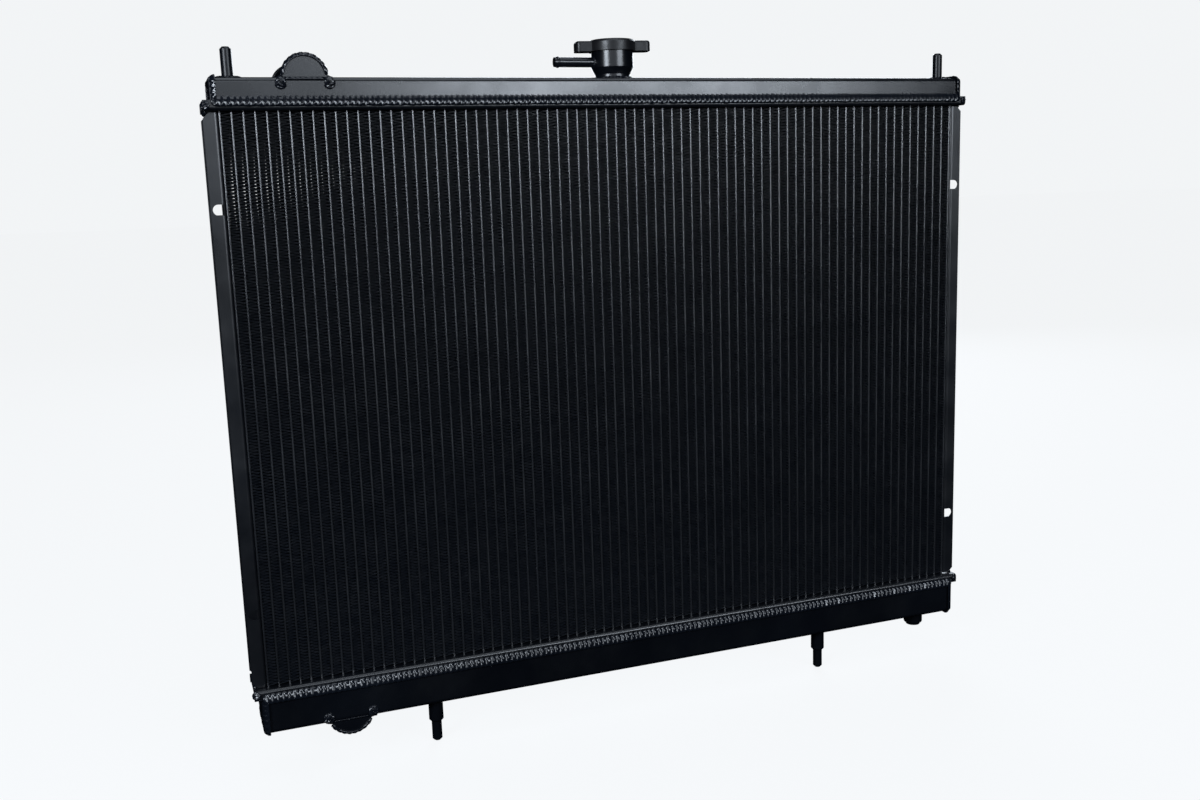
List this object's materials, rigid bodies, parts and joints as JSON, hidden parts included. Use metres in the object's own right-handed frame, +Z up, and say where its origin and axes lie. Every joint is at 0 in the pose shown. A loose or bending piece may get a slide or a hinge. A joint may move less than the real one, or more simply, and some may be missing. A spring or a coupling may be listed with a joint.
{
  "type": "car radiator",
  "caption": "Down-flow aluminium car radiator with welded tanks, flat tubes and folded fins, side plates, pressure cap, hose pipes, locating pins and drain.",
  "frame": {"origin": "midway between the two lower locating pins, at the shoulders that rest on the rubber mounts", "axes": "+Z up, +X to the right of a person facing the radiator's front, front faces -Y"},
  "size_m": [0.7884, 0.098, 0.6867],
  "materials": {
    "black_paint": "satin black paint",
    "core_paint": "thin black paint over flat tubes",
    "fin_paint": "thin matt black paint",
    "pin_paint": "gloss black paint",
    "neck_paint": "gloss black paint",
    "cap_coating": "black satin coating on steel",
    "spring_steel": "bright",
    "valve_brass": "bright",
    "plug_brass": "black painted",
    "rubber": "moulded"
  },
  "bodies": {
    "root": {"core_tubes": "core_paint", "fin_bank_1": "fin_paint", "fin_bank_2": "fin_paint", "fin_bank_3": "fin_paint", "fin_bank_4": "fin_paint", "top_header_plate": "black_paint", "bottom_header_plate": "black_paint", "top_tank_shell": "black_paint", "top_tank_cap_left": "black_paint", "top_tank_cap_right": "black_paint", "bottom_tank_shell": "black_paint", "bottom_tank_cap_left": "black_paint", "bottom_tank_cap_right": "black_paint", "inlet_pipe": "black_paint", "inlet_end_plate": "black_paint", "outlet_pipe": "black_paint", "outlet_end_plate": "black_paint", "side_plate_left": "black_paint", "side_plate_right": "black_paint", "top_pin_left": "pin_paint", "top_pin_right": "pin_paint", "bottom_pin_left": "pin_paint", "bottom_pin_right": "pin_paint", "filler_neck": "neck_paint", "overflow_nipple": "neck_paint", "cap_spring_disc": "spring_steel", "cap_bell": "spring_steel", "cap_upper_seal": "rubber", "pressure_spring": "spring_steel", "drain_boss": "black_paint"},
    "cap": {"cap_shell": "cap_coating", "cap_rivet": "cap_coating"},
    "pressure_valve": {"pressure_plate": "spring_steel", "pressure_seal": "rubber", "vacuum_spring": "spring_steel"},
    "vacuum_valve": {"vacuum_valve": "valve_brass"},
    "drain_washer": {"drain_washer": "rubber"},
    "drain_plug": {"drain_plug": "plug_brass"}
  },
  "joints": [
    {"name": "cap_turn", "type": "hinge", "parent": "root", "child": "cap", "pos_m": [-0.0053, 0.008, 0.6575], "axis": [0, 0, 1], "range_deg": [0, 90]},
    {"name": "pressure_valve_lift", "type": "slide", "parent": "root", "child": "pressure_valve", "axis": [0, 0, 1], "range_m": [0, 0.003], "stiffness_N_per_m": 2000, "deforming": ["pressure_spring"]},
    {"name": "vacuum_valve_drop", "type": "slide", "parent": "pressure_valve", "child": "vacuum_valve", "axis": [0, 0, -1], "range_m": [0, 0.0025], "stiffness_N_per_m": 60, "deforming": ["vacuum_spring"]},
    {"name": "drain_travel", "type": "slide", "parent": "root", "child": "drain_washer", "axis": [0, 0, -1], "range_m": [0, 0.006]},
    {"name": "drain_turn", "type": "hinge", "parent": "drain_washer", "child": "drain_plug", "pos_m": [0.3535, 0.008, 0.012], "axis": [0, 0, -1], "range_deg": [0, 1441]}
  ],
  "couplings": [
    {"joint": "drain_turn", "follows": "drain_travel", "rad_per_m": 4188.8}
  ]
}
